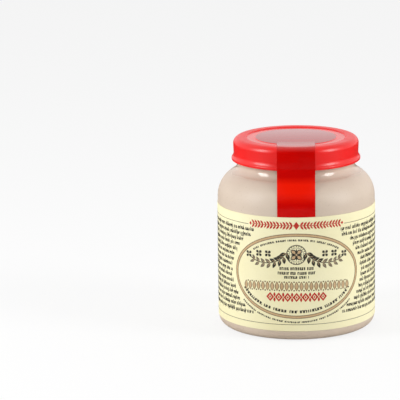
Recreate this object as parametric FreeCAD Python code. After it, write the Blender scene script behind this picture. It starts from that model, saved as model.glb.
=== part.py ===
import FreeCAD
import Part

import math
import os

# Stoneware mustard jar with a red plastic cap, a paper label round the wall
# and a sealing strip over the cap.  Millimetres, +Z up.  The origin is the
# centre of the foot, on the surface that the jar stands on, and the front of
# the label faces -Y.

# --- jar -------------------------------------------------------------------
JAR_RADIUS = 42.3          # straight stoneware wall
FOOT_ROUND = 5.6           # rounding between the foot and the wall
SHOULDER_Z = 70.8          # height at which the wall starts to turn in
SHOULDER_ROUND = 15.7      # radius of the shoulder's section
NECK_INSET = 10.8          # from the wall in to the neck that the cap sits over
NECK_FILLET = 5.0          # hollow between the shoulder and the neck
RIM_ROUND = 0.8            # edge of the neck's top

# --- cap -------------------------------------------------------------------
CAP_GAP = 1.55             # bare neck between its fillet and the cap's lower edge
CAP_HEIGHT = 12.2          # from that edge to the crest of the top
NECK_CLEARANCE = 0.4       # between the neck and the cap's bore
SKIRT_WALL = 1.6           # skirt at its waist, just above the lip
SKIRT_DRAFT = 0.2          # how much wider the skirt is under the top's rounding
WAIST_RISE = 3.9           # height of the waist above the lower edge
LIP_FLARE = 1.1            # lip beyond the waist
LIP_BAND = 1.3             # height of the lip's upright edge
LIP_ROUND = 0.5            # rounding of the lip's lower edge
CORNER_ROUND = 3.4         # rounding between the skirt and the crest
CREST_WIDTH = 3.4          # flat crest, between the rounding and the recess
RING_DEPTH = 0.6           # recessed ring below the crest
RING_SLOPE = 0.6           # width of the slope from the crest down to the ring
RING_WIDTH = 4.2
DISC_RISE = 0.3            # centre disc above the ring
DISC_SLOPE = 0.4           # width of the slope from the ring up to the disc
CAP_PANEL = 2.0            # thickness of the cap's top under the ring

# --- label and sealing strip ------------------------------------------------
GLUE_GAP = 0.05            # film of glue under the label and the strip
LABEL_FOOT_GAP = 0.2       # bare wall between the foot's rounding and the label
LABEL_SHOULDER_GAP = 3.3   # bare wall between the label and the shoulder
LABEL_THICKNESS = 0.15
LABEL_SEAM = 5.0           # bare gap between the label's ends, at the back
STRIP_WIDTH = 20.0
STRIP_THICKNESS = 0.15
STRIP_END_GAP = 0.1        # between the label's top edge and the strip's lower end
STRIP_OVERLAP = 15.3       # from the crest's outer edge in over the cap's top

# --- what follows from these --------------------------------------------------
NECK_RADIUS = JAR_RADIUS - NECK_INSET
SHOULDER_CENTRE = (JAR_RADIUS - SHOULDER_ROUND, SHOULDER_Z)
FILLET_R = NECK_RADIUS + NECK_FILLET
FILLET_REACH = SHOULDER_ROUND + NECK_FILLET
FILLET_Z = SHOULDER_Z + math.sqrt(FILLET_REACH ** 2 - (FILLET_R - SHOULDER_CENTRE[0]) ** 2)

CAP_BOTTOM_Z = FILLET_Z + CAP_GAP
CREST_Z = CAP_BOTTOM_Z + CAP_HEIGHT
RING_Z = CREST_Z - RING_DEPTH
DISC_Z = RING_Z + DISC_RISE
NECK_TOP_Z = RING_Z - CAP_PANEL
BORE_RADIUS = NECK_RADIUS + NECK_CLEARANCE
WAIST_RADIUS = BORE_RADIUS + SKIRT_WALL
SKIRT_RADIUS = WAIST_RADIUS + SKIRT_DRAFT
LIP_RADIUS = WAIST_RADIUS + LIP_FLARE
CORNER_CENTRE = (SKIRT_RADIUS - CORNER_ROUND, CREST_Z - CORNER_ROUND)
CREST_INNER_RADIUS = CORNER_CENTRE[0] - CREST_WIDTH
RING_OUTER_RADIUS = CREST_INNER_RADIUS - RING_SLOPE
RING_INNER_RADIUS = RING_OUTER_RADIUS - RING_WIDTH
DISC_RADIUS = RING_INNER_RADIUS - DISC_SLOPE

LABEL_BOTTOM_Z = FOOT_ROUND + LABEL_FOOT_GAP
LABEL_TOP_Z = SHOULDER_Z - LABEL_SHOULDER_GAP
LABEL_HEIGHT = LABEL_TOP_Z - LABEL_BOTTOM_Z
SAME_POINT = 1e-6          # places of a section closer than this are one


def at(r, z):
    """Point of a section, in the plane of X and Z."""
    return FreeCAD.Vector(r, 0, z)


def on_circle(centre, radius, degrees):
    """Point of a section on a circle, measured from the outward direction."""
    angle = math.radians(degrees)
    return (centre[0] + radius * math.cos(angle), centre[1] + radius * math.sin(angle))


def line(start, end):
    """Straight edge between two points of a section."""
    return Part.LineSegment(at(*start), at(*end)).toShape()


def arc(centre, radius, first, last):
    """Round edge about a centre, between two angles in degrees."""
    points = [at(*on_circle(centre, radius, a)) for a in (first, (first + last) / 2, last)]
    return Part.Arc(*points).toShape()


def start_of(edge):
    """Radius and height of the place where an edge begins."""
    point = edge.valueAt(edge.FirstParameter)
    return (point.x, point.z)


def end_of(edge):
    """Radius and height of the place where an edge ends."""
    point = edge.valueAt(edge.LastParameter)
    return (point.x, point.z)


def chain(parts):
    """Edges of a section from arcs and corner points, joined by straight lines."""
    edges = []
    here = None
    for part in parts:
        is_corner = isinstance(part, tuple)
        start = part if is_corner else start_of(part)
        if here is not None and math.dist(here, start) > SAME_POINT:
            edges.append(line(here, start))
        if not is_corner:
            edges.append(part)
        here = start if is_corner else end_of(part)
    return edges


def turned(edges):
    """Solid of revolution about Z from a closed section."""
    face = Part.Face(Part.Wire(Part.sortEdges(edges)[0]))
    return face.revolve(FreeCAD.Vector(0, 0, 0), FreeCAD.Vector(0, 0, 1), 360)


def make_jar():
    """Foot, upright wall, round shoulder and a plain neck, closed and solid."""
    contact = math.degrees(math.atan2(FILLET_Z - SHOULDER_Z, FILLET_R - SHOULDER_CENTRE[0]))
    return turned(chain([
        (0, 0),
        arc((JAR_RADIUS - FOOT_ROUND, FOOT_ROUND), FOOT_ROUND, -90, 0),
        arc(SHOULDER_CENTRE, SHOULDER_ROUND, 0, contact),
        arc((FILLET_R, FILLET_Z), NECK_FILLET, contact + 180, 180),
        arc((NECK_RADIUS - RIM_ROUND, NECK_TOP_Z - RIM_ROUND), RIM_ROUND, 0, 90),
        (0, NECK_TOP_Z),
        (0, 0),
    ]))


def make_cap():
    """Cap with a flared lip, a rounded crest and a recessed ring round its disc."""
    waist_z = CAP_BOTTOM_Z + WAIST_RISE
    drop = WAIST_RISE - LIP_BAND
    flare_round = (LIP_FLARE ** 2 + drop ** 2) / (2 * LIP_FLARE)
    flare_end = math.degrees(math.asin(drop / flare_round))
    return turned(chain([
        (BORE_RADIUS, CAP_BOTTOM_Z),
        arc((LIP_RADIUS - LIP_ROUND, CAP_BOTTOM_Z + LIP_ROUND), LIP_ROUND, -90, 0),
        arc((WAIST_RADIUS + flare_round, waist_z), flare_round, 180 + flare_end, 180),
        arc(CORNER_CENTRE, CORNER_ROUND, 0, 90),
        (CREST_INNER_RADIUS, CREST_Z),
        (RING_OUTER_RADIUS, RING_Z),
        (RING_INNER_RADIUS, RING_Z),
        (DISC_RADIUS, DISC_Z),
        (0, DISC_Z),
        (0, NECK_TOP_Z),
        (BORE_RADIUS, NECK_TOP_Z),
        (BORE_RADIUS, CAP_BOTTOM_Z),
    ]))


def tangent_angle(centre, radius, point, side):
    """Angle at which a taut line from a point leaves a circle, in degrees."""
    across = point[0] - centre[0]
    up = point[1] - centre[1]
    opening = math.acos(radius / math.hypot(across, up))
    return math.degrees(math.atan2(up, across) + side * opening)


def strip_path(off):
    """Run of the strip at a distance off the jar and the cap, up to the axis.

    The strip lies on the wall and the shoulder, is pulled straight from there
    to the cap's lip and from the lip to the cap's corner, crosses the crest
    and sags over the ring on to the disc.
    """
    lip_low = (LIP_RADIUS + off, CAP_BOTTOM_Z + LIP_ROUND)
    lip_high = (LIP_RADIUS + off, CAP_BOTTOM_Z + LIP_BAND)
    leave = tangent_angle(SHOULDER_CENTRE, SHOULDER_ROUND + off, lip_low, -1)
    meet = tangent_angle(CORNER_CENTRE, CORNER_ROUND + off, lip_high, 1)
    return [
        (JAR_RADIUS + off, LABEL_TOP_Z + STRIP_END_GAP),
        arc(SHOULDER_CENTRE, SHOULDER_ROUND + off, 0, leave),
        lip_low,
        lip_high,
        arc(CORNER_CENTRE, CORNER_ROUND + off, meet, 90),
        (CREST_INNER_RADIUS, CREST_Z + off),
        (DISC_RADIUS, DISC_Z + off),
        (0, DISC_Z + off),
    ]


def make_strip():
    """Sealing strip from the label's top edge up the front on to the cap's top."""
    inner = chain(strip_path(GLUE_GAP))
    outer = chain(strip_path(GLUE_GAP + STRIP_THICKNESS))
    ends = [
        line(start_of(inner[0]), start_of(outer[0])),
        line(end_of(inner[-1]), end_of(outer[-1])),
    ]
    skin = turned(inner + outer + ends)
    reach = 2 * JAR_RADIUS
    top_end = CORNER_CENTRE[0] - STRIP_OVERLAP
    band = Part.makeBox(STRIP_WIDTH, reach - top_end, 2 * CREST_Z,
                        FreeCAD.Vector(-STRIP_WIDTH / 2, -reach, 0))
    return skin.common(band)


def make_label():
    """Paper label glued round the wall, its two ends apart at the back."""
    inner = JAR_RADIUS + GLUE_GAP
    outer = inner + LABEL_THICKNESS
    base = FreeCAD.Vector(0, 0, LABEL_BOTTOM_Z)
    ring = Part.makeCylinder(outer, LABEL_HEIGHT, base).cut(
        Part.makeCylinder(inner, LABEL_HEIGHT, base))
    seam = Part.makeBox(LABEL_SEAM, 2 * outer, LABEL_HEIGHT,
                        FreeCAD.Vector(-LABEL_SEAM / 2, 0, LABEL_BOTTOM_Z))
    return ring.cut(seam)


def single_solid(shape):
    """The one solid that a piece is made of."""
    solids = shape.Solids
    assert len(solids) == 1 and solids[0].isValid(), "a piece is one valid solid"
    return solids[0]


PIECES = {
    "jar": make_jar,
    "lid": make_cap,
    "seal_strip": make_strip,
    "label": make_label,
}

os.makedirs("parts", exist_ok=True)
for node, make in PIECES.items():
    solid = single_solid(make())
    solid.exportStep(f"parts/{node}.step")
    box = solid.optimalBoundingBox()
    print(f"{node:11s} {box.XLength:7.2f} {box.YLength:7.2f} {box.ZLength:7.2f} mm"
          f"  z {box.ZMin:6.2f} to {box.ZMax:6.2f}  volume {solid.Volume / 1000:8.2f} cm3")
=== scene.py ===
# %% [markdown]
# # A stoneware mustard jar
# The jar is a squat crock of beige glazed stoneware, shut by a red plastic cap.
# A cream paper label runs round the wall, and a red film strip seals the cap:
# it starts at the label's top edge, climbs the front and ends on the cap's top.
# The construction is already there as a fixed frame, so this file first loads
# it and then dresses it piece by piece: stoneware, cap, film, paper and print.

import math
import random

import bpy
from mathutils import Matrix, Vector


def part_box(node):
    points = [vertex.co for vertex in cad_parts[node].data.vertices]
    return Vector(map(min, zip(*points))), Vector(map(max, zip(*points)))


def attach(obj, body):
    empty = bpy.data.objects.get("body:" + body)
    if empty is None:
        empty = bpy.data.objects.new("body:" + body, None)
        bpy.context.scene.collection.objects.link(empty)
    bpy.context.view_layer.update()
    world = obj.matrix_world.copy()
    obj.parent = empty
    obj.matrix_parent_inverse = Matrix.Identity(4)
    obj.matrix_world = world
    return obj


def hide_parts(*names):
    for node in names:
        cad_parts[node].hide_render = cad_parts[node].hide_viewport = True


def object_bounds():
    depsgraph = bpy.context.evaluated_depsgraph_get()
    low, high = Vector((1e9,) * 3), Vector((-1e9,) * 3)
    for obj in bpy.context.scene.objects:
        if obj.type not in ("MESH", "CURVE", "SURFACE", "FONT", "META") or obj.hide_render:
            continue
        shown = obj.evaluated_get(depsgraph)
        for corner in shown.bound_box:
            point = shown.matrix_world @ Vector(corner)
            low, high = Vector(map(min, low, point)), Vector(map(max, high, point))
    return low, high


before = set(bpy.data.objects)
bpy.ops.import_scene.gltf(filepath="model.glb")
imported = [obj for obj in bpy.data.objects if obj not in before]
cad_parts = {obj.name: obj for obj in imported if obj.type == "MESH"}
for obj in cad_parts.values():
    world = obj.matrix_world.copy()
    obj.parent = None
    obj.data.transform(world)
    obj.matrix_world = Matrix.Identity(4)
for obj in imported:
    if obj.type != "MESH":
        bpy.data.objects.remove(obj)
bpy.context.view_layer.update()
MM = 0.001

# %% [markdown]
# ## Sizes that the frame gives
# Every piece sits where the frame's own piece sits, so the outer sizes are
# read from the boxes of its nodes and are not written again here.

# %% Outer sizes
JAR_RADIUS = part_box("jar")[1].x
CAP_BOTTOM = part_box("lid")[0].z
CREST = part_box("lid")[1].z
LIP_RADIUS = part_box("lid")[1].x
LABEL_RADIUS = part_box("label")[1].x
LABEL_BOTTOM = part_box("label")[0].z
LABEL_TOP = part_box("label")[1].z
STRIP_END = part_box("seal_strip")[0].z
STRIP_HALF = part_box("seal_strip")[1].x
STRIP_TOP_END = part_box("seal_strip")[1].y
TOTAL_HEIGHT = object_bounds()[1].z
print(f"jar {2 * JAR_RADIUS / MM:.1f} mm wide, {TOTAL_HEIGHT / MM:.1f} mm high")

# %% [markdown]
# ## Helpers for selecting and editing
# An operator works on whatever is selected, so each step starts from nothing
# selected, and a helper opens and closes edit mode in the same way each time.


# %% Select and edit
def select_only(piece):
    """Make one object the only selected one, and the active one."""
    bpy.ops.object.select_all(action="DESELECT")
    piece.select_set(True)
    bpy.context.view_layer.objects.active = piece


def edit(piece):
    """Open a piece for editing with nothing selected in it."""
    select_only(piece)
    bpy.ops.object.mode_set(mode="EDIT")
    bpy.ops.mesh.select_mode(type="VERT")
    bpy.ops.mesh.select_all(action="DESELECT")


def done():
    """Leave edit mode."""
    bpy.ops.object.mode_set(mode="OBJECT")


def named(name):
    """Name the object that was just made, and its mesh."""
    piece = bpy.context.object
    piece.name = name
    piece.data.name = name
    return piece


def apply_modifiers(piece):
    """Bake every modifier of a piece into its mesh."""
    select_only(piece)
    for modifier in list(piece.modifiers):
        bpy.ops.object.modifier_apply(modifier=modifier.name)


def put_in_mesh(piece):
    """Move the object's place, turn and size into its mesh."""
    select_only(piece)
    bpy.ops.object.transform_apply(location=True, rotation=True, scale=True)


# %% [markdown]
# ## Helpers for round pieces
# A round piece is made as on a potter's wheel: half of its outline is drawn by
# extruding one vertex along it, and the outline is then spun. It could be
# lathed from a cylinder too, but an outline keeps every rounding exact.

# %% Draw and spin an outline
SAME_PLACE = 0.02 * MM
SAME_POINT = 0.005 * MM


def arc(centre, radius, first, last, steps):
    """Points of a round stretch of an outline, angles in degrees."""
    angles = [math.radians(first + (last - first) * i / steps) for i in range(steps + 1)]
    return [(centre[0] + radius * math.cos(a), centre[1] + radius * math.sin(a))
            for a in angles]


def clean_outline(points):
    """Leave out a point that lies on the one before it."""
    kept = [points[0]]
    for point in points[1:]:
        if math.dist(point, kept[-1]) > SAME_PLACE:
            kept.append(point)
    return kept


def draw_outline(name, points):
    """One vertex, extruded from point to point in the plane of X and Z."""
    points = clean_outline(points)
    bpy.ops.object.select_all(action="DESELECT")
    bpy.ops.mesh.primitive_plane_add(size=MM, location=(0, 0, 0))
    piece = named(name)
    bpy.ops.object.mode_set(mode="EDIT")
    bpy.ops.mesh.merge(type="CENTER")
    bpy.ops.transform.translate(value=(points[0][0], 0, points[0][1]))
    here = points[0]
    for there in points[1:]:
        step = (there[0] - here[0], 0, there[1] - here[1])
        bpy.ops.mesh.extrude_vertices_move(TRANSFORM_OT_translate={"value": step})
        here = there
    done()
    return piece


def spin_outline(piece, steps):
    """Spin a drawn outline once round the jar's axis and close its seam and poles."""
    select_only(piece)
    bpy.ops.object.mode_set(mode="EDIT")
    bpy.ops.mesh.select_all(action="SELECT")
    bpy.ops.mesh.spin(steps=steps, angle=2 * math.pi, center=(0, 0, 0), axis=(0, 0, 1))
    bpy.ops.mesh.select_all(action="SELECT")
    bpy.ops.mesh.remove_doubles(threshold=SAME_POINT)
    bpy.ops.mesh.normals_make_consistent(inside=False)
    done()
    return piece


def smooth(piece, degrees=40):
    """Shade round surfaces smooth and keep edges sharper than an angle."""
    select_only(piece)
    bpy.ops.object.shade_smooth_by_angle(angle=math.radians(degrees))


def finish_piece(piece, material, node):
    """Give a piece its finish and its body, and hide the node it stands for."""
    piece.data.materials.clear()
    piece.data.materials.append(material)
    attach(piece, "root")
    if node:
        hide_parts(node)
    print(f"{piece.name}: {len(piece.data.polygons)} faces")


quarter = arc((0, 0), MM, 0, 90, 8)
print("a quarter arc has", len(quarter), "points")

# %% [markdown]
# ## Helpers for materials
# Each finish starts from one Principled shader. What is the same all over is
# set on the shader's own sockets, and what varies reaches them from noise on
# Object coordinates, so that it stays put on the piece from every side.


# %% Material helpers
def new_finish(name, **settings):
    """A Principled material, its constant sockets set by name."""
    material = bpy.data.materials.new(name)
    material.use_nodes = True
    nodes = material.node_tree.nodes
    shader = nodes["Principled BSDF"]
    for socket, value in settings.items():
        shader.inputs[socket.replace("_", " ")].default_value = value
    return material, nodes, material.node_tree.links, shader


def noise(nodes, links, scale, detail=3.0, stretch=(1, 1, 1)):
    """Noise on the piece's own coordinates; scale counts features in a metre."""
    where = nodes.new("ShaderNodeTexCoord")
    mapping = nodes.new("ShaderNodeMapping")
    mapping.inputs["Scale"].default_value = stretch
    texture = nodes.new("ShaderNodeTexNoise")
    texture.inputs["Scale"].default_value = scale
    texture.inputs["Detail"].default_value = detail
    links.new(where.outputs["Object"], mapping.inputs["Vector"])
    links.new(mapping.outputs["Vector"], texture.inputs["Vector"])
    return texture.outputs["Fac"]


def ramp(nodes, links, factor, stops):
    """Colours along a factor; stops are (place, colour) pairs."""
    node = nodes.new("ShaderNodeValToRGB")
    elements = node.color_ramp.elements
    while len(elements) < len(stops):
        elements.new(0.5)
    for element, (place, colour) in zip(elements, stops):
        element.position = place
        element.color = (*colour, 1)
    links.new(factor, node.inputs["Fac"])
    return node.outputs["Color"]


def spread(nodes, links, factor, low, high, start=0.3, end=0.7):
    """Turn a factor into a number between two values."""
    node = nodes.new("ShaderNodeMapRange")
    node.inputs["From Min"].default_value = start
    node.inputs["From Max"].default_value = end
    node.inputs["To Min"].default_value = low
    node.inputs["To Max"].default_value = high
    links.new(factor, node.inputs["Value"])
    return node.outputs["Result"]


def blend_colours(nodes, links, factor, first, second):
    """Mix two colours, each a socket or a plain colour, by a factor socket."""
    node = nodes.new("ShaderNodeMix")
    node.data_type = "RGBA"
    for name, value in (("Factor", factor), ("A", first), ("B", second)):
        socket = [s for s in node.inputs if s.name == name and s.enabled][0]
        if isinstance(value, bpy.types.NodeSocket):
            links.new(value, socket)
        elif isinstance(value, tuple):
            socket.default_value = (*value, 1)
        else:
            socket.default_value = value
    return [s for s in node.outputs if s.enabled][0]


# %% Numbers and relief
def total(nodes, links, values):
    """Sum of several number sockets."""
    result = values[0]
    for value in values[1:]:
        node = nodes.new("ShaderNodeMath")
        links.new(result, node.inputs[0])
        links.new(value, node.inputs[1])
        result = node.outputs["Value"]
    return result


def bump(nodes, links, shader, heights):
    """Stack bumps on a shader; heights are (socket, distance, strength)."""
    previous = None
    for height, distance, strength in heights:
        node = nodes.new("ShaderNodeBump")
        node.inputs["Distance"].default_value = distance
        node.inputs["Strength"].default_value = strength
        links.new(height, node.inputs["Height"])
        if previous:
            links.new(previous, node.inputs["Normal"])
        previous = node.outputs["Normal"]
    links.new(previous, shader.inputs["Normal"])


def object_axis(nodes, links, axis):
    """One of the piece's own coordinates, as a number in metres."""
    where = nodes.new("ShaderNodeTexCoord")
    split = nodes.new("ShaderNodeSeparateXYZ")
    links.new(where.outputs["Object"], split.inputs["Vector"])
    return split.outputs[axis]


def radius_from_axis(nodes, links):
    """Distance from the jar's axis, in metres."""
    where = nodes.new("ShaderNodeTexCoord")
    flatten = nodes.new("ShaderNodeVectorMath")
    flatten.operation = "MULTIPLY"
    flatten.inputs[1].default_value = (1, 1, 0)
    length = nodes.new("ShaderNodeVectorMath")
    length.operation = "LENGTH"
    links.new(where.outputs["Object"], flatten.inputs[0])
    links.new(flatten.outputs["Vector"], length.inputs[0])
    return length.outputs["Value"]


# %% [markdown]
# ## The stoneware
# Table mustard comes in fired stoneware, dipped in a clear glaze that pools
# a little in the hollow at the neck and is wiped off the foot, so the foot is
# bare, rougher and a shade browner. Fine iron specks show through the glaze.
# The colour is therefore a beige that drifts slowly over the pot, with rare
# small specks. The gloss is satin where the glaze is thin, full in the hollow
# where it pools, and wavers a little because a glaze is never flat.

# %% Glazed stoneware
GLAZE_PALE = (0.66, 0.545, 0.44)
GLAZE_WARM = (0.60, 0.485, 0.385)
SPECK = (0.36, 0.25, 0.17)
BARE_FOOT = (0.50, 0.38, 0.27)
BARE_FOOT_TOP = 0.5 * MM
POOL_START = 81.0 * MM
POOL_FULL = 87.0 * MM
GLAZE_ROUGH = (0.08, 0.14)
THIN_GLAZE_ROUGHER = 0.36
BARE_FOOT_ROUGHER = 0.5


def make_glaze():
    """Clear glaze over beige stoneware, bare under the foot."""
    material, nodes, links, shader = new_finish("glazed_stoneware", IOR=1.5)
    drift = noise(nodes, links, 28, detail=4)
    body = ramp(nodes, links, drift, [(0.3, GLAZE_WARM), (0.7, GLAZE_PALE)])
    specks = spread(nodes, links, noise(nodes, links, 1500, detail=1), 0, 0.55, 0.70, 0.78)
    speckled = blend_colours(nodes, links, specks, body, SPECK)
    height = object_axis(nodes, links, "Z")
    glazed = spread(nodes, links, height, 0, 1, 0.6 * BARE_FOOT_TOP, BARE_FOOT_TOP)
    colour = blend_colours(nodes, links, glazed, BARE_FOOT, speckled)
    links.new(colour, shader.inputs["Base Color"])
    pooled = spread(nodes, links, height, THIN_GLAZE_ROUGHER, 0, POOL_START, POOL_FULL)
    bare = spread(nodes, links, glazed, BARE_FOOT_ROUGHER, 0, 0, 1)
    waver = spread(nodes, links, noise(nodes, links, 90), *GLAZE_ROUGH)
    links.new(total(nodes, links, [waver, pooled, bare]), shader.inputs["Roughness"])
    bump(nodes, links, shader, [
        (noise(nodes, links, 60, detail=2), 0.5 * MM, 0.10),
        (noise(nodes, links, 900, detail=2), 0.03 * MM, 0.25),
    ])
    return material


glaze = make_glaze()
print("finish", glaze.name)

# %% [markdown]
# ## The jar's body
# The pot is round, so one half outline holds its whole shape: a rounded foot,
# an upright wall, a round shoulder, a small hollow and the neck that the cap
# covers. The neck goes on up inside the cap, where it is never seen.

# %% The jar's outline
FOOT_ROUND = 5.6 * MM
SHOULDER_ROUND = 15.7 * MM
SHOULDER_Z = LABEL_TOP + 3.3 * MM
NECK_INSET = 10.8 * MM
NECK_FILLET = 5.0 * MM
RIM_ROUND = 0.8 * MM
ROUND_STEPS = 192

shoulder_centre = (JAR_RADIUS - SHOULDER_ROUND, SHOULDER_Z)
neck_radius = JAR_RADIUS - NECK_INSET
neck_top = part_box("jar")[1].z
fillet_r = neck_radius + NECK_FILLET
fillet_reach = SHOULDER_ROUND + NECK_FILLET
fillet_z = SHOULDER_Z + math.sqrt(fillet_reach ** 2 - (fillet_r - shoulder_centre[0]) ** 2)
fillet_angle = math.degrees(math.atan2(fillet_z - SHOULDER_Z, fillet_r - shoulder_centre[0]))


def jar_outline():
    """Half outline of the stoneware, from the foot's centre to the neck's centre."""
    foot_centre = (JAR_RADIUS - FOOT_ROUND, FOOT_ROUND)
    rim_centre = (neck_radius - RIM_ROUND, neck_top - RIM_ROUND)
    wall = [(JAR_RADIUS, FOOT_ROUND + (SHOULDER_Z - FOOT_ROUND) * i / 6) for i in range(1, 6)]
    return [
        (0, 0),
        (0.5 * foot_centre[0], 0),
        *arc(foot_centre, FOOT_ROUND, -90, 0, 12),
        *wall,
        *arc(shoulder_centre, SHOULDER_ROUND, 0, fillet_angle, 26),
        *arc((fillet_r, fillet_z), NECK_FILLET, fillet_angle + 180, 180, 10),
        *arc(rim_centre, RIM_ROUND, 0, 90, 4),
        (0, neck_top),
    ]


jar_body = spin_outline(draw_outline("jar_stoneware", jar_outline()), ROUND_STEPS)
smooth(jar_body)
finish_piece(jar_body, glaze, "jar")

# %% [markdown]
# ## The cap
# The cap is moulded in glossy red plastic: a lip that flares at the lower
# edge, a plain skirt, a rounded crest, and a recessed ring round a flat disc
# in the middle. It is a real shell with an open underside, spun in one go,
# and a narrow bevel takes the sharpness off each moulded edge. The disc and
# the ring are polished by the mould; the crest and the skirt are more satin.

# %% Red plastic
CAP_RED = (0.88, 0.006, 0.004)
CAP_RED_DEEP = (0.80, 0.004, 0.003)
DISC_RED = (0.42, 0.012, 0.014)
CAP_ROUGH = (0.07, 0.13)
CREST_ROUGHER = 0.28
SKIRT_SMOOTHER = -0.06
RING_WIDTH = 4.2 * MM
CORNER_ROUND = 3.4 * MM
LIP_FLARE = 1.1 * MM
SKIRT_DRAFT = 0.2 * MM
CREST_WIDTH = 3.4 * MM
RING_SLOPE = 0.6 * MM
DISC_SLOPE = 0.4 * MM

waist_radius = LIP_RADIUS - LIP_FLARE
skirt_radius = waist_radius + SKIRT_DRAFT
corner_centre = (skirt_radius - CORNER_ROUND, CREST - CORNER_ROUND)
crest_inner = corner_centre[0] - CREST_WIDTH
ring_outer = crest_inner - RING_SLOPE
ring_inner = ring_outer - RING_WIDTH
disc_radius = ring_inner - DISC_SLOPE


def make_cap_plastic():
    """Moulded red, more satin from the crest outward, with a deeper red disc."""
    material, nodes, links, shader = new_finish("cap_plastic", IOR=1.5)
    drift = noise(nodes, links, 45, detail=3)
    red = ramp(nodes, links, drift, [(0.3, CAP_RED_DEEP), (0.7, CAP_RED)])
    radius = radius_from_axis(nodes, links)
    inside = spread(nodes, links, radius, 1, 0, disc_radius - 0.1 * MM, disc_radius)
    colour = blend_colours(nodes, links, inside, red, DISC_RED)
    links.new(colour, shader.inputs["Base Color"])
    scuffs = noise(nodes, links, 260, detail=5, stretch=(1, 1, 3))
    rough = spread(nodes, links, scuffs, *CAP_ROUGH, 0.35, 0.75)
    crest = spread(nodes, links, radius, 0, CREST_ROUGHER, ring_outer - 0.2 * MM, ring_outer)
    corner = corner_centre[0]
    skirt = spread(nodes, links, radius, 0, SKIRT_SMOOTHER, corner, corner + 2 * MM)
    links.new(total(nodes, links, [rough, crest, skirt]), shader.inputs["Roughness"])
    bump(nodes, links, shader, [
        (noise(nodes, links, 70, detail=2), 0.4 * MM, 0.06),
        (noise(nodes, links, 1500, detail=2), 0.01 * MM, 0.1),
    ])
    return material


cap_plastic = make_cap_plastic()
print("finish", cap_plastic.name)

# %% The cap's outline
WAIST_RISE = 3.9 * MM
LIP_BAND = 1.3 * MM
LIP_ROUND = 0.5 * MM
RING_DEPTH = 0.6 * MM
DISC_RISE = 0.3 * MM
NECK_CLEARANCE = 0.4 * MM
EDGE_BEVEL = 0.18 * MM


def cap_outline():
    """Closed half outline of the cap's shell."""
    waist_z = CAP_BOTTOM + WAIST_RISE
    drop = WAIST_RISE - LIP_BAND
    flare_round = (LIP_FLARE ** 2 + drop ** 2) / (2 * LIP_FLARE)
    flare_end = math.degrees(math.asin(drop / flare_round))
    ring_z = CREST - RING_DEPTH
    bore = neck_radius + NECK_CLEARANCE
    lip_centre = (LIP_RADIUS - LIP_ROUND, CAP_BOTTOM + LIP_ROUND)
    return [
        (0, neck_top),
        (bore, neck_top),
        (bore, CAP_BOTTOM),
        *arc(lip_centre, LIP_ROUND, -90, 0, 5),
        *arc((waist_radius + flare_round, waist_z), flare_round, 180 + flare_end, 180, 8),
        *arc(corner_centre, CORNER_ROUND, 0, 90, 14),
        (crest_inner, CREST),
        (ring_outer, ring_z),
        (ring_inner, ring_z),
        (disc_radius, ring_z + DISC_RISE),
        (0, ring_z + DISC_RISE),
    ]


cap = spin_outline(draw_outline("cap_shell", cap_outline()), ROUND_STEPS)
bevel = cap.modifiers.new("moulded edges", "BEVEL")
bevel.width = EDGE_BEVEL
bevel.segments = 3
bevel.limit_method = "ANGLE"
bevel.angle_limit = math.radians(20)
apply_modifiers(cap)
smooth(cap)
finish_piece(cap, cap_plastic, "lid")

# %% [markdown]
# ## The sealing strip
# A thin glossy film, 20 mm wide, is stuck from the label's top edge up the
# shoulder, pulled taut to the cap's lip, laid over the crest and across the
# ring, and ends a little way on to the disc. Spinning its side outline and
# cutting the shell with upright planes gives a band that follows every round
# surface at a constant width. Solidify then gives the film its thickness.
# Where it lies on the shoulder the film is painted a brighter red as painted light from above,
# and this fades out just under the cap as painted shade.

# %% Red film
FILM_RED = (0.60, 0.001, 0.0)
FILM_RED_DEEP = (0.52, 0.0006, 0.0)
# Painted light: a brighter red for the film on the shoulder, lit from above, that fades into
# painted shade under the cap.
FILM_PAINTED_LIGHT_RED = (0.86, 0.010, 0.001)
FILM_PAINTED_LIGHT_LOW = 74.0 * MM
FILM_PAINTED_LIGHT_HIGH = 80.0 * MM
FILM_SHADE_LOW = 84.0 * MM
FILM_SHADE_HIGH = 88.0 * MM
FILM_ROUGH = (0.07, 0.18)


def make_film():
    """Glossy red sealing film with faint creases, painted brighter on the shoulder as painted
    light.
    """
    material, nodes, links, shader = new_finish("seal_film", IOR=1.5)
    drift = noise(nodes, links, 60, detail=4)
    red = ramp(nodes, links, drift, [(0.3, FILM_RED_DEEP), (0.7, FILM_RED)])
    height = object_axis(nodes, links, "Z")
    # Painted light and shade: the film is brighter red from the label's top up the shoulder,
    # and plain red again just under the cap.
    painted_light_rise = spread(nodes, links, height, 0, 1, FILM_PAINTED_LIGHT_LOW, FILM_PAINTED_LIGHT_HIGH)
    clear_of_painted_shade = spread(nodes, links, height, 1, 0, FILM_SHADE_LOW, FILM_SHADE_HIGH)
    painted_light_film = blend_colours(nodes, links, painted_light_rise, red, FILM_PAINTED_LIGHT_RED)
    red = blend_colours(nodes, links, clear_of_painted_shade, red, painted_light_film)
    inside = spread(nodes, links, radius_from_axis(nodes, links), 1, 0,
                    ring_outer, crest_inner)
    links.new(blend_colours(nodes, links, inside, red, DISC_RED), shader.inputs["Base Color"])
    smears = noise(nodes, links, 180, detail=4, stretch=(0.5, 1, 2))
    links.new(spread(nodes, links, smears, *FILM_ROUGH), shader.inputs["Roughness"])
    bump(nodes, links, shader, [
        (noise(nodes, links, 90, detail=3, stretch=(0.4, 1, 1.6)), 0.2 * MM, 0.08),
        (noise(nodes, links, 500, detail=2, stretch=(0.3, 1, 2.5)), 0.01 * MM, 0.1),
    ])
    return material


film_red = make_film()
print("finish", film_red.name)

# %% The strip's run
GLUE_GAP = 0.05 * MM
FILM_THICKNESS = 0.15 * MM


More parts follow.
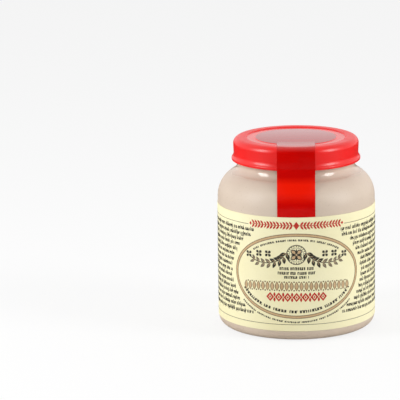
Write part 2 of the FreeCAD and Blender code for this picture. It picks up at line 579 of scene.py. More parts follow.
def tangent_angle(centre, radius, point, side):
    """Angle at which a taut line from a point leaves a circle, in degrees."""
    across = point[0] - centre[0]
    up = point[1] - centre[1]
    opening = math.acos(radius / math.hypot(across, up))
    return math.degrees(math.atan2(up, across) + side * opening)


def strip_outline(off):
    """Side outline of the film at a distance off the jar and the cap."""
    lip_low = (LIP_RADIUS + off, CAP_BOTTOM + LIP_ROUND)
    lip_high = (LIP_RADIUS + off, CAP_BOTTOM + LIP_BAND)
    leave = tangent_angle(shoulder_centre, SHOULDER_ROUND + off, lip_low, -1)
    meet = tangent_angle(corner_centre, CORNER_ROUND + off, lip_high, 1)
    points = [
        (JAR_RADIUS + off, STRIP_END),
        *arc(shoulder_centre, SHOULDER_ROUND + off, 0, leave, 10),
        lip_low,
        lip_high,
        *arc(corner_centre, CORNER_ROUND + off, meet, 90, 14),
    ]
    disc_z = CREST - RING_DEPTH + DISC_RISE + off
    across_ring = [(crest_inner, CREST + off), (disc_radius, disc_z)]
    over_disc = [(disc_radius * (1 - i / 8), disc_z) for i in range(1, 9)]
    return points + across_ring + over_disc


def make_strip():
    """Spin the film's outline, keep the band between three planes, thicken it."""
    strip = spin_outline(draw_outline("seal_strip_film", strip_outline(GLUE_GAP)), ROUND_STEPS)
    cuts = [
        ((-STRIP_HALF, 0, 0), (-1, 0, 0)),
        ((STRIP_HALF, 0, 0), (1, 0, 0)),
        ((0, STRIP_TOP_END, 0), (0, 1, 0)),
    ]
    for place, outward in cuts:
        edit(strip)
        bpy.ops.mesh.select_all(action="SELECT")
        bpy.ops.mesh.bisect(plane_co=place, plane_no=outward, clear_outer=True)
        done()
    edit(strip)
    bpy.ops.mesh.select_all(action="SELECT")
    bpy.ops.mesh.normals_make_consistent(inside=False)
    done()
    wall = strip.modifiers.new("film thickness", "SOLIDIFY")
    wall.thickness = FILM_THICKNESS
    wall.offset = 1
    apply_modifiers(strip)
    return strip


strip = make_strip()
smooth(strip, 30)
finish_piece(strip, film_red, "seal_strip")

# %% [markdown]
# ## The label's paper
# The label is uncoated cream paper, a little yellowed. It is cut flat, so it
# is modelled flat: a fine grid as long as the wrap, which a Curve modifier
# then bends round a circle of the wall's size without stretching it.

# %% Paper
PAPER_PALE = (0.90, 0.85, 0.56)
PAPER_WARM = (0.86, 0.80, 0.49)
PAPER_FIBRE = (0.76, 0.69, 0.42)


def make_paper():
    """Uncoated cream paper with fibres and a slight yellowing."""
    material, nodes, links, shader = new_finish("label_paper", Roughness=0.62, IOR=1.45)
    drift = noise(nodes, links, 30, detail=4)
    sheet = ramp(nodes, links, drift, [(0.3, PAPER_WARM), (0.7, PAPER_PALE)])
    fibres = spread(nodes, links, noise(nodes, links, 1800, detail=3, stretch=(1, 1, 0.3)),
                    0, 0.35, 0.60, 0.80)
    links.new(blend_colours(nodes, links, fibres, sheet, PAPER_FIBRE),
              shader.inputs["Base Color"])
    bump(nodes, links, shader, [
        (noise(nodes, links, 45, detail=2), 0.3 * MM, 0.10),
        (noise(nodes, links, 1600, detail=4), 0.03 * MM, 0.35),
    ])
    return material


paper = make_paper()
print("finish", paper.name)

# %% Wrapping flat work round the jar
LABEL_THICKNESS = 0.15 * MM
LABEL_SEAM = 5.0 * MM
label_length = 2 * math.pi * LABEL_RADIUS - LABEL_SEAM


def wrap_circle(radius):
    """Circle that starts at the front of the jar and runs to the right."""
    bpy.ops.object.select_all(action="DESELECT")
    bpy.ops.curve.primitive_bezier_circle_add(radius=radius, location=(0, 0, 0),
                                              rotation=(0, 0, math.pi / 2))
    circle = bpy.context.object
    put_in_mesh(circle)
    circle.data.resolution_u = 64
    bpy.ops.object.mode_set(mode="EDIT")
    bpy.ops.curve.select_all(action="SELECT")
    bpy.ops.curve.switch_direction()
    done()
    return circle


def wrap(piece, radius, thickness):
    """Bend flat work, drawn in the plane of X and Z, round the jar and thicken it."""
    circle = wrap_circle(radius)
    bend = piece.modifiers.new("wrap", "CURVE")
    bend.object = circle
    bend.deform_axis = "POS_X"
    wall = piece.modifiers.new("thickness", "SOLIDIFY")
    wall.thickness = thickness
    wall.offset = 1
    apply_modifiers(piece)
    bpy.data.objects.remove(circle)
    return piece


# %% The paper label
def flat_sheet(name, width, height, middle, columns, rows):
    """Flat grid standing in the plane of X and Z, facing the viewer."""
    bpy.ops.object.select_all(action="DESELECT")
    bpy.ops.mesh.primitive_grid_add(x_subdivisions=columns, y_subdivisions=rows, size=1,
                                    location=middle, rotation=(math.pi / 2, 0, 0))
    sheet = named(name)
    sheet.scale = (width, height, 1)
    put_in_mesh(sheet)
    return sheet


SHEET_COLUMNS = 180
SHEET_ROWS = 12
label_middle = (0, 0, (LABEL_BOTTOM + LABEL_TOP) / 2)
label = flat_sheet("label_sheet", label_length, LABEL_TOP - LABEL_BOTTOM, label_middle,
                   SHEET_COLUMNS, SHEET_ROWS)
wrap(label, LABEL_RADIUS - LABEL_THICKNESS, LABEL_THICKNESS)
smooth(label, 30)
finish_piece(label, paper, "label")

# %% [markdown]
# ## The print on the label
# The print is ink on paper, so each colour is a skin a few hundredths of a
# millimetre thick that lies on the sheet. All of it is drawn flat, in the
# plane of X and Z with X as the length along the wrap, and is then cut into
# narrow upright slices and bent round the jar like the paper under it.

# %% Lay ink on the label
INK_THICKNESS = 0.02 * MM
INK_STEP = 0.02 * MM
SLICE = 1.5 * MM
FACING_FRONT = (math.pi / 2, 0, 0)


def select_faces(piece, wanted):
    """Select, in edit mode, the faces for which a test of the face holds."""
    bpy.ops.mesh.select_mode(type="FACE")
    done()
    for face in piece.data.polygons:
        face.select = wanted(face)
    bpy.ops.object.mode_set(mode="EDIT")


def face_front(piece):
    """Turn every flat face towards the viewer."""
    edit(piece)
    select_faces(piece, lambda face: face.normal.y > 0)
    bpy.ops.mesh.flip_normals()
    done()


def slice_upright(piece):
    """Cut flat work with upright planes, so that it can bend smoothly."""
    across = [vertex.co.x for vertex in piece.data.vertices]
    first = math.floor(min(across) / SLICE) + 1
    last = math.ceil(max(across) / SLICE)
    edit(piece)
    for i in range(first, last):
        bpy.ops.mesh.select_all(action="SELECT")
        bpy.ops.mesh.bisect(plane_co=(i * SLICE, 0, 0), plane_no=(1, 0, 0))
    done()


def print_on_label(piece, ink, layer=1, sliced=True):
    """Lay flat work on the label as a thin skin of ink."""
    face_front(piece)
    if sliced:
        slice_upright(piece)
    wrap(piece, LABEL_RADIUS + layer * INK_STEP, INK_THICKNESS)
    smooth(piece, 30)
    finish_piece(piece, ink, None)
    return piece


# %% Join and copy
def joined(pieces, name):
    """Join flat pieces into one."""
    bpy.ops.object.select_all(action="DESELECT")
    for piece in pieces:
        piece.select_set(True)
    bpy.context.view_layer.objects.active = pieces[0]
    if len(pieces) > 1:
        bpy.ops.object.join()
    put_in_mesh(bpy.context.object)
    return named(name)


def copies(master, name, places):
    """Copy a motif to each place (x, z, turn in degrees, wide, high), then join."""
    made = []
    for x, z, turn, wide, high in places:
        select_only(master)
        bpy.ops.object.duplicate(linked=False)
        copy = bpy.context.object
        copy.location = (x, 0, z)
        copy.rotation_euler = (0, math.radians(turn), 0)
        copy.scale = (wide, 1, high)
        made.append(copy)
    bpy.data.objects.remove(master)
    return joined(made, name)


# %% Flat shapes
NARROWEST = 0.001


def disc(name, x, z, wide, high, corners=24):
    """Flat filled oval, or a lozenge with four corners."""
    bpy.ops.object.select_all(action="DESELECT")
    bpy.ops.mesh.primitive_circle_add(vertices=corners, radius=0.5, fill_type="NGON",
                                      location=(x, 0, z), rotation=FACING_FRONT)
    piece = named(name)
    piece.scale = (wide, high, 1)
    put_in_mesh(piece)
    return piece


def ring(name, x, z, wide, high, line, corners=128):
    """Flat oval line of a given width, its outer edge of a given size."""
    bpy.ops.object.select_all(action="DESELECT")
    bpy.ops.mesh.primitive_circle_add(vertices=corners, radius=0.5, location=(x, 0, z),
                                      rotation=FACING_FRONT)
    piece = named(name)
    piece.scale = (wide, high, 1)
    put_in_mesh(piece)
    edit(piece)
    bpy.ops.mesh.select_all(action="SELECT")
    bpy.ops.mesh.extrude_edges_indiv()
    inner = ((wide - 2 * line) / wide, 1, (high - 2 * line) / high)
    bpy.ops.transform.resize(value=inner, center_override=(x, 0, z))
    done()
    return piece


def strip_of_ink(name, start, end, z, high):
    """Flat straight line along the wrap."""
    middle = ((start + end) / 2, 0, z)
    columns = max(2, round((end - start) / SLICE))
    return flat_sheet(name, end - start, high, middle, columns, 1)


def leaf(name, long, wide, fullest=0.45, rows=8):
    """Flat upright leaf from a narrow sheet, each row drawn in towards the tips."""
    sheet = flat_sheet(name, wide, long, (0, 0, long / 2), 2, rows)
    edit(sheet)
    for row in range(rows + 1):
        share = row / rows
        if share < fullest:
            width = math.sin(0.5 * math.pi * share / fullest)
        else:
            width = math.cos(0.5 * math.pi * (share - fullest) / (1 - fullest))
        bpy.ops.mesh.select_all(action="DESELECT")
        done()
        height = share * long
        for vertex in sheet.data.vertices:
            vertex.select = abs(vertex.co.z - height) < 0.01 * MM
        bpy.ops.object.mode_set(mode="EDIT")
        bpy.ops.transform.resize(value=(max(width, NARROWEST), 1, 1),
                                 center_override=(0, 0, height))
    bpy.ops.mesh.select_all(action="SELECT")
    bpy.ops.mesh.remove_doubles(threshold=0.02 * MM)
    done()
    return sheet


# %% [markdown]
# ## Inks
# Five inks are enough for the whole label: a near-black brown, a warm red, a
# tan, a brown for the outlines and a grey for what is lighter. Offset ink
# soaks into this paper, so it is matt, uneven in density, and follows the
# paper's grain.


# %% Inks
def make_ink(name, colour, worn):
    """Matt printing ink that varies in density between two colours."""
    material, nodes, links, shader = new_finish(name, Roughness=0.55, IOR=1.45)
    density = noise(nodes, links, 700, detail=4)
    links.new(ramp(nodes, links, density, [(0.35, colour), (0.75, worn)]),
              shader.inputs["Base Color"])
    bump(nodes, links, shader, [(noise(nodes, links, 1600, detail=4), 0.02 * MM, 0.3)])
    return material


ink_black = make_ink("ink_black", (0.030, 0.026, 0.018), (0.075, 0.066, 0.045))
ink_red = make_ink("ink_red", (0.50, 0.018, 0.008), (0.56, 0.040, 0.020))
ink_tan = make_ink("ink_tan", (0.55, 0.37, 0.19), (0.62, 0.44, 0.25))
ink_brown = make_ink("ink_brown", (0.155, 0.095, 0.045), (0.22, 0.14, 0.075))
ink_grey = make_ink("ink_grey", (0.165, 0.135, 0.085), (0.25, 0.21, 0.14))
print("inks", [ink.name for ink in (ink_black, ink_red, ink_tan, ink_brown, ink_grey)])

# %% [markdown]
# ## Rules and the oval frame
# Two thin rules run round the label under its upper and over its lower edge;
# the upper one stops where the red heading stands. The middle of the front
# is framed by an oval: a dark line, a tan band and a second dark line.

# %% Rules and oval
RULE = 0.28 * MM
UPPER_RULE_Z = 62.5 * MM
LOWER_RULE_Z = 9.4 * MM
HEADING_HALF = 27.0 * MM
OVAL_Z = 35.8 * MM
OVAL_WIDE = 72.6 * MM
OVAL_HIGH = 46.2 * MM
OVAL_BAND = 1.35 * MM
OVAL_LINE = 0.32 * MM

label_half = label_length / 2
rules = joined([
    strip_of_ink("rule", -label_half, -HEADING_HALF, UPPER_RULE_Z, RULE),
    strip_of_ink("rule", HEADING_HALF, label_half, UPPER_RULE_Z, RULE),
    strip_of_ink("rule", -label_half, label_half, LOWER_RULE_Z, RULE),
], "print_rules")
print_on_label(rules, ink_grey, sliced=False)

band = ring("print_oval_band", 0, OVAL_Z, OVAL_WIDE, OVAL_HIGH, OVAL_BAND)
print_on_label(band, ink_tan)
inner_wide = OVAL_WIDE - 2 * OVAL_BAND
inner_high = OVAL_HIGH - 2 * OVAL_BAND
oval_lines = joined([
    ring("line", 0, OVAL_Z, OVAL_WIDE, OVAL_HIGH, OVAL_LINE),
    ring("line", 0, OVAL_Z, inner_wide, inner_high, OVAL_LINE),
], "print_oval_lines")
print_on_label(oval_lines, ink_brown, layer=2)

# %% [markdown]
# ## The small rows
# The real label carries dense small text. Here it is only greeked: each row
# is a fine grid from which a seeded choice of cells is cut away, and what is
# left are strokes of mixed height with gaps between groups, like grey texture.
# A row that follows the oval is bent along it while it is still flat.

# %% Rows of strokes
CELL = 0.34 * MM
ROW_BANDS = 4
GROUP_LENGTH = (3, 9)
TALL_ODDS = 0.28
DEEP_ODDS = 0.14
WIDE_ODDS = 0.6
SEED = 7
dice = random.Random(SEED)


def stroke_pattern(columns, level_tops):
    """For each column of a row, the bands from the lowest up that keep ink."""
    body = [0, 1, 2, 3] if level_tops else [1, 2]
    links = [[], [], body[:1], body[-1:]]
    kept = []
    while len(kept) < columns:
        for _ in range(dice.randint(*GROUP_LENGTH)):
            chances = ((3, TALL_ODDS), (0, DEEP_ODDS))
            ends = [band for band, odds in chances if dice.random() < odds]
            kept.append(body + ends)
            if dice.random() < WIDE_ODDS:
                kept.append(body)
            kept.append(dice.choice(links))
        kept.extend([[], []])
    return kept[:columns]


def stroke_row(start, end, z, high, level_tops=False, cell=CELL):
    """One row of strokes on the wrap, of a given height without its long strokes."""
    columns = max(4, round((end - start) / cell))
    band_high = high / ROW_BANDS if level_tops else high / 2
    row = flat_sheet("row", end - start, ROW_BANDS * band_high, ((start + end) / 2, 0, z),
                     columns, ROW_BANDS)
    pattern = stroke_pattern(columns, level_tops)
    width = (end - start) / columns

    def is_bare(face):
        column = min(columns - 1, int((face.center.x - start) / width))
        level = int((face.center.z - z) / band_high + ROW_BANDS / 2)
        return level not in pattern[column]

    edit(row)
    select_faces(row, is_bare)
    bpy.ops.mesh.delete(type="FACE")
    done()
    return row


def oval_reach(z, margin):
    """Half width of the oval's outside at a height, with a margin round it."""
    rise = (z - OVAL_Z) / (0.5 * OVAL_HIGH + margin)
    if abs(rise) >= 1:
        return 0.0
    return (0.5 * OVAL_WIDE + margin) * math.sqrt(1 - rise * rise)


# %% The columns beside the oval
COLUMN_TOP = 59.6 * MM
ROW_PITCH = 3.0 * MM
ROW_COUNT = 16
ROW_HIGH = 1.5 * MM
COLUMN_OUTER = 70.0 * MM
COLUMN_INNER = 23.0 * MM
OVAL_MARGIN = 2.0 * MM
RAGGED = 2.0 * MM


def text_column(name, side):
    """Rows of strokes that leave the oval free on one side of the label."""
    rows = []
    for i in range(ROW_COUNT):
        z = COLUMN_TOP - i * ROW_PITCH
        near = [oval_reach(z + up, OVAL_MARGIN) for up in (-ROW_HIGH, 0, ROW_HIGH)]
        inner = max(COLUMN_INNER, *near) + dice.uniform(0, RAGGED)
        ends = sorted((side * inner, side * COLUMN_OUTER))
        rows.append(stroke_row(ends[0], ends[1], z, ROW_HIGH))
    return joined(rows, name)


for name, side in (("print_rows_left", -1), ("print_rows_right", 1)):
    print_on_label(text_column(name, side), ink_black, sliced=False)

# %% Rows that follow the oval
# half length, inset from the oval's edge, along its top or not, height, cell
ARC_ROWS = [
    (25.0 * MM, 3.6 * MM, True, 1.7 * MM, 0.40 * MM),
    (33.0 * MM, 3.7 * MM, False, 2.5 * MM, 0.55 * MM),
    (33.0 * MM, -2.0 * MM, False, 1.5 * MM, 0.38 * MM),
]
# half length, height above the foot, height of the strokes
LEVEL_ROWS = [
    (9.0 * MM, 39.9 * MM, 1.6 * MM),
    (10.0 * MM, 37.4 * MM, 1.5 * MM),
    (6.5 * MM, 35.2 * MM, 1.4 * MM),
]


def bend_along_oval(row, wide, high, top):
    """Bend a level row along the top or the bottom of an upright oval."""
    turn = math.pi if top else math.pi / 2
    bpy.ops.object.select_all(action="DESELECT")
    bpy.ops.curve.primitive_bezier_circle_add(radius=0.5, location=(0, 0, 0),
                                              rotation=(0, 0, turn))
    oval = bpy.context.object
    put_in_mesh(oval)
    oval.data.resolution_u = 64
    oval.scale = (wide, high, 1)
    put_in_mesh(oval)
    if not top:
        bpy.ops.object.mode_set(mode="EDIT")
        bpy.ops.curve.select_all(action="SELECT")
        bpy.ops.curve.switch_direction()
        done()
    oval.rotation_euler = FACING_FRONT
    oval.location = (0, 0, OVAL_Z)
    bend = row.modifiers.new("follow oval", "CURVE")
    bend.object = oval
    bend.deform_axis = "POS_X"
    apply_modifiers(row)
    bpy.data.objects.remove(oval)
    return row


def arc_row(half, inset, top, high, cell):
    """A row of strokes of a given half length, bent along the oval's edge."""
    row = stroke_row(-half, half, OVAL_Z, high, level_tops=True, cell=cell)
    return bend_along_oval(row, OVAL_WIDE - 2 * inset, OVAL_HIGH - 2 * inset, top)


oval_rows = joined([
    *[arc_row(*row) for row in ARC_ROWS],
    *[stroke_row(-half, half, z, high, level_tops=True) for half, z, high in LEVEL_ROWS],
], "print_rows_oval")
print_on_label(oval_rows, ink_black, sliced=False)

# %% [markdown]
# ## The heading and the two friezes
# Where the real label has its big coloured words, this one has borders of the
# same height and colour: a red leafy stem as the heading, a frieze of upright
# tan leaves with brown outlines, and a red row of lozenges under it. Each
# leaf or lozenge is modelled once, flat, and copied along its row.

# %% Red heading
HEADING_Z = 63.1 * MM
HEADING_LEAF = (2.75 * MM, 1.05 * MM)
HEADING_PITCH = 1.75 * MM
HEADING_LEAVES = 14
LEAN = 38
HEADING_STEM = 0.34 * MM
HEADING_STEM_HALF = 24.5 * MM
MIDDLE_LOZENGE = (3.2 * MM, 4.4 * MM)
TIP_LOZENGE = (1.5 * MM, 2.0 * MM)
TIP_X = 25.6 * MM


def heading_leaves():
    """Places of the leaves that lean away from the heading's middle, both sides."""
    places = []
    for i in range(1, HEADING_LEAVES):
        x = (i + 0.2) * HEADING_PITCH
        size = 0.8 if i % 5 == 4 else 1.0
        for side in (-1, 1):
            places.append((side * x, HEADING_Z, side * LEAN, size, size))
            places.append((side * x, HEADING_Z, side * (180 - LEAN), size, size))
    return places


heading = joined([
    copies(leaf("leaf", *HEADING_LEAF), "leaves", heading_leaves()),
    strip_of_ink("stem", -HEADING_STEM_HALF, HEADING_STEM_HALF, HEADING_Z, HEADING_STEM),
    disc("middle", 0, HEADING_Z, *MIDDLE_LOZENGE, corners=4),
    disc("tip", -TIP_X, HEADING_Z, *TIP_LOZENGE, corners=4),
    disc("tip", TIP_X, HEADING_Z, *TIP_LOZENGE, corners=4),
], "print_heading")
print_on_label(heading, ink_red)

# %% Tan frieze
FRIEZE_Z = 30.3 * MM
FRIEZE_HIGH = 5.2 * MM
FRIEZE_PITCH = 2.62 * MM
FRIEZE_COUNT = 23
FRIEZE_DROP = 1.0 * MM
FRIEZE_OUTLINE = 2.25 * MM
FRIEZE_LEAF = (4.3 * MM, 1.55 * MM)
DOT = 0.85 * MM
DOT_INSET = 0.3 * MM


def frieze_places(high, count=FRIEZE_COUNT):
    """Places of upright leaves of a height in a row that arches a little."""
    places = []
    for i in range(count):
        x = (i - (count - 1) / 2) * FRIEZE_PITCH
        arch = FRIEZE_DROP * (x / (0.4 * OVAL_WIDE)) ** 2
        places.append((x, FRIEZE_Z - arch - high / 2, 0, 1, 1))
    return places


def frieze_dots(rise):
    """A row of dots between the leaves, at a rise above their lower tips."""
    between_leaves = frieze_places(FRIEZE_HIGH, FRIEZE_COUNT - 1)
    return copies(disc("dot", 0, 0, DOT, DOT, 12), "dots",
                  [(x, z + rise, 0, 1, 1) for x, z, *_ in between_leaves])


outlines = joined([
    copies(leaf("leaf", FRIEZE_HIGH, FRIEZE_OUTLINE, 0.5), "leaves",
           frieze_places(FRIEZE_HIGH)),
    frieze_dots(DOT_INSET),
    frieze_dots(FRIEZE_HIGH - DOT_INSET),
], "print_frieze_lines")
print_on_label(outlines, ink_brown)
fills = copies(leaf("leaf", *FRIEZE_LEAF, 0.5), "print_frieze_leaves",
               frieze_places(FRIEZE_LEAF[0]))
print_on_label(fills, ink_tan, layer=2)

# %% Red lozenges
LOZENGE_Z = 24.3 * MM
LOZENGE_PITCH = 4.75 * MM
LOZENGE_COUNT = 7
LOZENGE = (4.3 * MM, 5.0 * MM)
LOZENGE_LINE = 1.15 * MM
HEART = (1.1 * MM, 1.4 * MM)
LOZENGE_LEAF = (2.5 * MM, 1.2 * MM)
LEAF_GAP = 0.15 * MM
lozenge_row = [(i - (LOZENGE_COUNT - 1) / 2) * LOZENGE_PITCH for i in range(LOZENGE_COUNT)]
between = [x + LOZENGE_PITCH / 2 for x in lozenge_row[:-1]]
lozenges = joined([
    copies(ring("lozenge", 0, 0, *LOZENGE, LOZENGE_LINE, 4), "rings",
           [(x, LOZENGE_Z, 0, 1, 1) for x in lozenge_row]),
    copies(disc("heart", 0, 0, *HEART, 4), "hearts",
           [(x, LOZENGE_Z, 0, 1, 1) for x in lozenge_row]),
    copies(leaf("leaf", *LOZENGE_LEAF, 0.5), "upper",
           [(x, LOZENGE_Z + LEAF_GAP, 0, 1, 1) for x in between]),
    copies(leaf("leaf", *LOZENGE_LEAF, 0.5), "lower",
           [(x, LOZENGE_Z - LEAF_GAP, 180, 1, 1) for x in between]),
], "print_lozenges")
print_on_label(lozenges, ink_red)

# %% [markdown]
# ## The picture in the oval
# The middle of the oval holds a generic ornament in the weight and colours of
# an old engraving: a round medallion with a four-petalled mustard flower, and
# on each side a sprig of leaves with small flowers over it. A stem is part
# of an oval line, and the leaves stand on it in pairs.

# %% Medallion
MEDALLION_Z = 47.4 * MM
MEDALLION = 10.8 * MM
RIM_LINE = 0.42 * MM
INNER_RIM = 0.72 * MEDALLION
INNER_RIM_LINE = 0.2 * MM
BEAD = 0.62 * MM
BEAD_COUNT = 22
BEAD_CIRCLE = 0.425 * MEDALLION
PETAL = (3.5 * MM, 2.7 * MM)
SEPAL = (2.9 * MM, 0.8 * MM)
PETAL_FILL = (2.5 * MM, 1.6 * MM)
EYE = 0.9 * MM
PETAL_COUNT = 4
PETAL_TURN = 45
PETAL_FULLEST = 0.62
PETAL_START = 0.2 * MM
SEPAL_START = 0.4 * MM
FILL_START = 0.75 * MM


def around(count, radius, x, z, turn=0.0):
    """Places round a point, each turned to look outward from it."""
    places = []
    for i in range(count):
        angle = 360 * i / count + turn
        places.append((x + radius * math.sin(math.radians(angle)),
                       z + radius * math.cos(math.radians(angle)), angle, 1, 1))
    return places


medallion = joined([
    ring("rim", 0, MEDALLION_Z, MEDALLION, MEDALLION, RIM_LINE, 64),
    ring("rim", 0, MEDALLION_Z, INNER_RIM, INNER_RIM, INNER_RIM_LINE, 48),
    copies(disc("bead", 0, 0, BEAD, BEAD, 10), "beads",
           around(BEAD_COUNT, BEAD_CIRCLE, 0, MEDALLION_Z)),
    copies(leaf("petal", *PETAL, PETAL_FULLEST), "petals",
           around(PETAL_COUNT, PETAL_START, 0, MEDALLION_Z, PETAL_TURN)),
    copies(leaf("sepal", *SEPAL, 0.5), "sepals",
           around(PETAL_COUNT, SEPAL_START, 0, MEDALLION_Z)),
], "print_medallion")
print_on_label(medallion, ink_black)
petals = joined([
    copies(leaf("petal", *PETAL_FILL, 0.6), "petals",
           around(PETAL_COUNT, FILL_START, 0, MEDALLION_Z, PETAL_TURN)),
    disc("eye", 0, MEDALLION_Z, EYE, EYE, 16),
], "print_petals")
print_on_label(petals, ink_tan, layer=2)

# %% Sprigs
STEM_X = 17.0 * MM
STEM_Z = 50.5 * MM
STEM_WIDE = 24.0 * MM
STEM_HIGH = 16.5 * MM
STEM_LINE = 0.42 * MM
STEM_CUT_Z = STEM_Z - 4.6 * MM
LEAF_PAIRS = 8
DARK_PAIRS = 4
FIRST_PAIR = 196
PAIR_STEP = 15
LEAF_LEAN = 46
LEAF_SHRINK = 0.03


def on_stem(side, degrees):
    """A point of the stem and the direction in which it grows, on one side."""
    angle = math.radians(degrees)
    x = STEM_X + 0.5 * STEM_WIDE * math.cos(angle)
    z = STEM_Z + 0.5 * STEM_HIGH * math.sin(angle)
    growth = math.degrees(math.atan2(-0.5 * STEM_WIDE * math.sin(angle),
                                     0.5 * STEM_HIGH * math.cos(angle)))
    return side * x, z, side * growth


def sprig_places(first, last):
    """Leaves in pairs along both stems, between two pairs counted outward."""
    places = []
    for i in range(first, last):
        size = 1.0 - LEAF_SHRINK * i
        for side in (-1, 1):
            x, z, growth = on_stem(side, FIRST_PAIR + PAIR_STEP * i)
            for lean in (-LEAF_LEAN, LEAF_LEAN):
                places.append((x, z, growth + lean, size, size))
    return places


def stems():
    """The lower part of an oval line on each side of the medallion."""
    lines = []
    for side in (-1, 1):
        line = ring("stem", side * STEM_X, STEM_Z, STEM_WIDE, STEM_HIGH, STEM_LINE, 64)
        edit(line)
        bpy.ops.mesh.select_all(action="SELECT")
        bpy.ops.mesh.bisect(plane_co=(0, 0, STEM_CUT_Z), plane_no=(0, 0, 1),
                            clear_outer=True)
        done()
        lines.append(line)
    return joined(lines, "stems")


print("each sprig has", LEAF_PAIRS, "pairs of leaves")

# %% Leaves, stems and flowers
SPRIG_LEAF = (4.1 * MM, 2.0 * MM)
SPRIG_VEIN = (2.3 * MM, 0.30 * MM)
FLOWERS = [(15.4 * MM, 47.6 * MM), (20.6 * MM, 47.4 * MM), (26.8 * MM, 46.4 * MM)]
FLOWER_PETAL = (1.9 * MM, 1.5 * MM)
inner_parts = [
    copies(leaf("leaf", *SPRIG_LEAF), "leaves", sprig_places(0, DARK_PAIRS)),
    stems(),
]
for x, z in FLOWERS:
    for side in (-1, 1):
        places = around(PETAL_COUNT, PETAL_START, side * x, z, PETAL_TURN)
        petal = leaf("petal", *FLOWER_PETAL, PETAL_FULLEST)
        inner_parts.append(copies(petal, "petals", places))
print_on_label(joined(inner_parts, "print_sprig_inner"), ink_black)

outer_leaves = copies(leaf("leaf", *SPRIG_LEAF), "print_sprig_outer",
                      sprig_places(DARK_PAIRS, LEAF_PAIRS))
print_on_label(outer_leaves, ink_grey)

veins = copies(leaf("vein", *SPRIG_VEIN, 0.4), "print_sprig_veins",
               sprig_places(0, LEAF_PAIRS))
print_on_label(veins, ink_tan, layer=2)

# %% [markdown]
# ## Floor, light and camera
# A pack shot like this is taken in a tent: two large soft lights, the left one
# stronger, white walls behind and beside the jar, and a dark front, where the
# camera stands. The plastic mirrors the dark front and so keeps its deep red.
# The floor is glowing paper to the camera, ordinary paper to the light, and
# nearly black to mirrored rays, for the same reason.

# %% Floor and world
FLOOR_SIZE = 8.0
FLOOR_GLOW = 0.80
AMBIENT = 0.82
TENT_FRONT = 0.03
TENT_TURN = (-0.85, 0.1)
FLOOR_WHITE = 0.90
FLOOR_SEEN = 0.985
FLOOR_HIDDEN = 0.9


def mixed_for(nodes, links, kind, share, shader, glow_strength):
    """Mix a share of glow into a shader for one kind of ray, such as the camera's."""
    rays = nodes.new("ShaderNodeLightPath")
    glow = nodes.new("ShaderNodeEmission")
    glow.inputs["Strength"].default_value = glow_strength
    mix = nodes.new("ShaderNodeMixShader")
    links.new(spread(nodes, links, rays.outputs[kind], 0, share, 0, 1), mix.inputs["Fac"])
    links.new(shader, mix.inputs[1])
    links.new(glow.outputs["Emission"], mix.inputs[2])
    return mix.outputs["Shader"]


bpy.ops.object.select_all(action="DESELECT")
bpy.ops.mesh.primitive_plane_add(size=FLOOR_SIZE, location=(0, 0, 0))
floor = named("floor")
material, nodes, links, shader = new_finish("floor_paper", Roughness=1.0,
                                            Specular_IOR_Level=0.0)
shader.inputs["Base Color"].default_value = (FLOOR_WHITE, FLOOR_WHITE, FLOOR_WHITE, 1)
seen = mixed_for(nodes, links, "Is Camera Ray", FLOOR_GLOW, shader.outputs["BSDF"], FLOOR_SEEN)
seen = mixed_for(nodes, links, "Is Glossy Ray", FLOOR_HIDDEN, seen, 0.0)
links.new(seen, nodes["Material Output"].inputs["Surface"])
floor.data.materials.append(material)
print("floor", FLOOR_SIZE, "m wide")

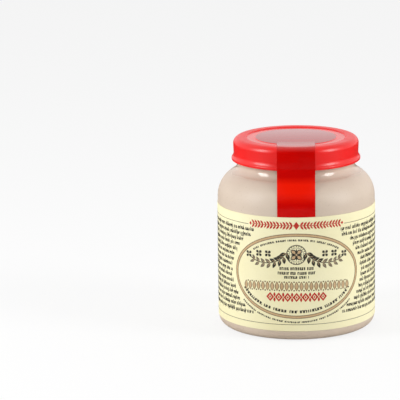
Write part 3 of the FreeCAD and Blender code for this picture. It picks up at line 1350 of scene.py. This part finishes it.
# %% The tent
world = bpy.data.worlds.new("white_tent")
world.use_nodes = True
bpy.context.scene.world = world
nodes = world.node_tree.nodes
links = world.node_tree.links
towards = nodes.new("ShaderNodeTexCoord")
split = nodes.new("ShaderNodeSeparateXYZ")
links.new(towards.outputs["Generated"], split.inputs["Vector"])
tent = spread(nodes, links, split.outputs["Y"], TENT_FRONT, 1.0, *TENT_TURN)
rays = nodes.new("ShaderNodeLightPath")
seen = spread(nodes, links, rays.outputs["Is Glossy Ray"], AMBIENT, 1.0, 0, 1)
strength = nodes.new("ShaderNodeMath")
strength.operation = "MULTIPLY"
links.new(tent, strength.inputs[0])
links.new(seen, strength.inputs[1])
links.new(strength.outputs["Value"], nodes["Background"].inputs["Strength"])
nodes["Background"].inputs["Color"].default_value = (1, 1, 1, 1)
print("world", world.name)

# %% Lights
LAMP_PLACE = (0.85, -0.34, 0.46)
LAMP_AIM = (0, 0, 0.06)
LAMP_SIZE = (0.34, 0.50)


def softbox(name, place, aim, wide, high, watts):
    """Rectangular soft light at a place, turned to a point."""
    bpy.ops.object.light_add(type="AREA", location=place)
    lamp = bpy.context.object
    lamp.name = name
    lamp.data.shape = "RECTANGLE"
    lamp.data.size = wide
    lamp.data.size_y = high
    lamp.data.energy = watts
    direction = Vector(aim) - Vector(place)
    lamp.rotation_euler = direction.to_track_quat("-Z", "Y").to_euler()
    return lamp


for name, side, watts in (("softbox_left", -1, 6.2), ("softbox_right", 1, 5.6)):
    place = (side * LAMP_PLACE[0], LAMP_PLACE[1], LAMP_PLACE[2])
    lamp = softbox(name, place, LAMP_AIM, *LAMP_SIZE, watts)
    print(lamp.name, lamp.data.energy, "W")

# %% Camera
CAMERA_PLACE = (0.0, -1.3829, 0.3768)
YAW = math.radians(2.15)
PITCH = math.radians(12.588)
ROLL = math.radians(-0.763)
FOCAL_LENGTH = 236.16
SENSOR_WIDTH = 36.0
CLIP_END = 20.0

bpy.ops.object.camera_add(location=CAMERA_PLACE)
camera = bpy.context.object
ahead = Vector((-math.sin(YAW) * math.cos(PITCH), math.cos(YAW) * math.cos(PITCH),
                -math.sin(PITCH)))
level = Vector((math.cos(YAW), math.sin(YAW), 0))
upright = level.cross(ahead)
right = math.cos(ROLL) * level + math.sin(ROLL) * upright
up = -math.sin(ROLL) * level + math.cos(ROLL) * upright
turn = Matrix((right, up, -ahead)).transposed()
camera.rotation_euler = turn.to_euler()
camera.data.lens = FOCAL_LENGTH
camera.data.sensor_width = SENSOR_WIDTH
camera.data.clip_end = CLIP_END
scene = bpy.context.scene
scene.camera = camera
scene.view_settings.view_transform = "Standard"
print("camera at", CAMERA_PLACE, "with a", FOCAL_LENGTH, "mm lens")
